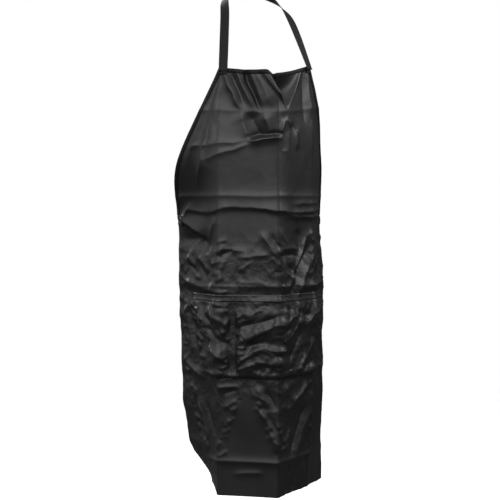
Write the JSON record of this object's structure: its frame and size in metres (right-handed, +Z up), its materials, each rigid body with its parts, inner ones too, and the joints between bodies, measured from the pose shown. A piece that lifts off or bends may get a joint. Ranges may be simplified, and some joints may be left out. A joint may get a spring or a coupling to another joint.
{
  "type": "artist smock apron",
  "caption": "Full-length black nylon bib apron in its worn shape, with bound bib and armholes, neck strap, wide patch pocket with a seam, and waist ties knotted in a bow behind.",
  "frame": {"origin": "nape of the neck strap: middle of the tape where it passes behind the wearer's neck and the apron hangs from", "axes": "+Z up along the apron's length, front of the apron towards -Y, wearer's left towards +X"},
  "size_m": [0.3991, 0.3358, 1.2206],
  "materials": {
    "black_nylon": "satin",
    "black_tape": "matte",
    "label_cloth": "matte"
  },
  "bodies": {
    "neck_strap": {"neck_strap": "black_tape"},
    "apron": {"main_panel": "black_nylon", "front_pocket": "black_nylon", "bib_top_binding": "black_tape", "armhole_binding_right": "black_tape", "armhole_binding_left": "black_tape", "strap_end_right": "black_tape", "strap_end_left": "black_tape", "tie_end_right": "black_tape", "tie_end_left": "black_tape", "care_label": "label_cloth"},
    "waist_tie": {"waist_tie_right": "black_tape", "waist_tie_left": "black_tape", "bow_knot": "black_tape"},
    "bow_loop_right": {"bow_loop_right": "black_tape"},
    "bow_loop_left": {"bow_loop_left": "black_tape"},
    "tie_tail_right": {"tie_tail_right": "black_tape"},
    "tie_tail_left": {"tie_tail_left": "black_tape"}
  },
  "joints": [
    {"name": "strap_seams", "type": "hinge", "parent": "neck_strap", "child": "apron", "pos_m": [0, -0.1473, -0.2004], "axis": [0.9982, 0, 0.0597], "range_deg": [-35, 8]},
    {"name": "waist_corners", "type": "hinge", "parent": "apron", "child": "waist_tie", "pos_m": [0.01183, -0.01834, -0.56], "axis": [0.9994, -0.0344, 0], "range_deg": [-20, 35]},
    {"name": "bow_loop_right_lift", "type": "hinge", "parent": "waist_tie", "child": "bow_loop_right", "pos_m": [-0.012, 0.0845, -0.563], "axis": [0, 1, 0], "range_deg": [0, 40]},
    {"name": "bow_loop_left_lift", "type": "hinge", "parent": "waist_tie", "child": "bow_loop_left", "pos_m": [0.012, 0.0845, -0.563], "axis": [0, -1, 0], "range_deg": [0, 40]},
    {"name": "tie_tail_right_swing", "type": "hinge", "parent": "waist_tie", "child": "tie_tail_right", "pos_m": [-0.008, 0.0805, -0.577], "axis": [1, 0, 0], "range_deg": [-12, 70]},
    {"name": "tie_tail_left_swing", "type": "hinge", "parent": "waist_tie", "child": "tie_tail_left", "pos_m": [0.008, 0.0805, -0.577], "axis": [1, 0, 0], "range_deg": [-12, 70]}
  ]
}
